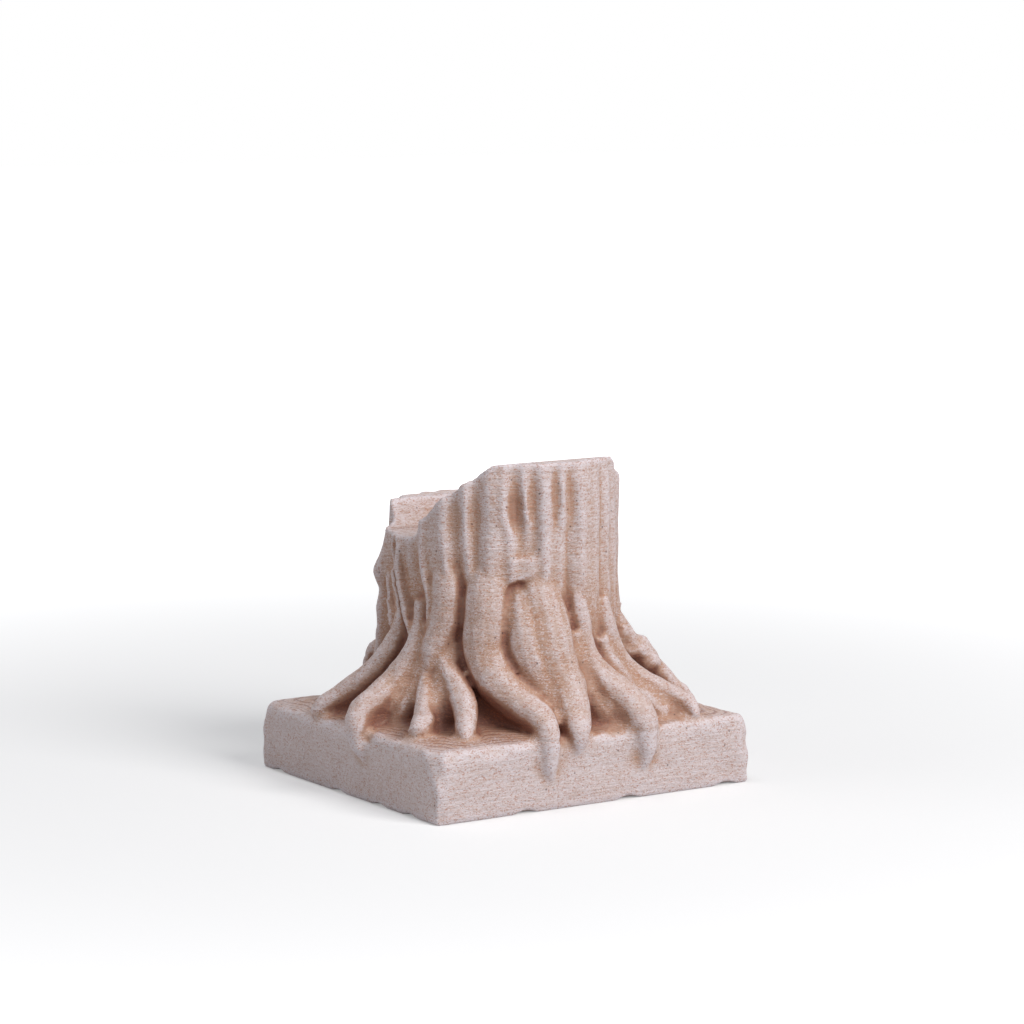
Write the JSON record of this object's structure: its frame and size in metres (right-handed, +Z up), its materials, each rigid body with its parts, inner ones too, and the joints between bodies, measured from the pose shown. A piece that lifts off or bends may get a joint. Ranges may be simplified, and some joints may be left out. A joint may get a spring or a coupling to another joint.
{
  "type": "game controller stand",
  "caption": "Desk stand for a game controller: a tree stump that grips a worn slab with its roots, with a slanted seat cut in the stump's top.",
  "frame": {"origin": "middle of the slab's underside, on the table", "axes": "+Z up, +X along the slab's length and the seat's trough, -Y towards the side of the high backrest"},
  "size_m": [0.085, 0.077, 0.071],
  "materials": {
    "wood_filled_plastic": "matte, layered print, finely speckled"
  },
  "bodies": {
    "root": {"stump_stand": "wood_filled_plastic"}
  },
  "joints": []
}
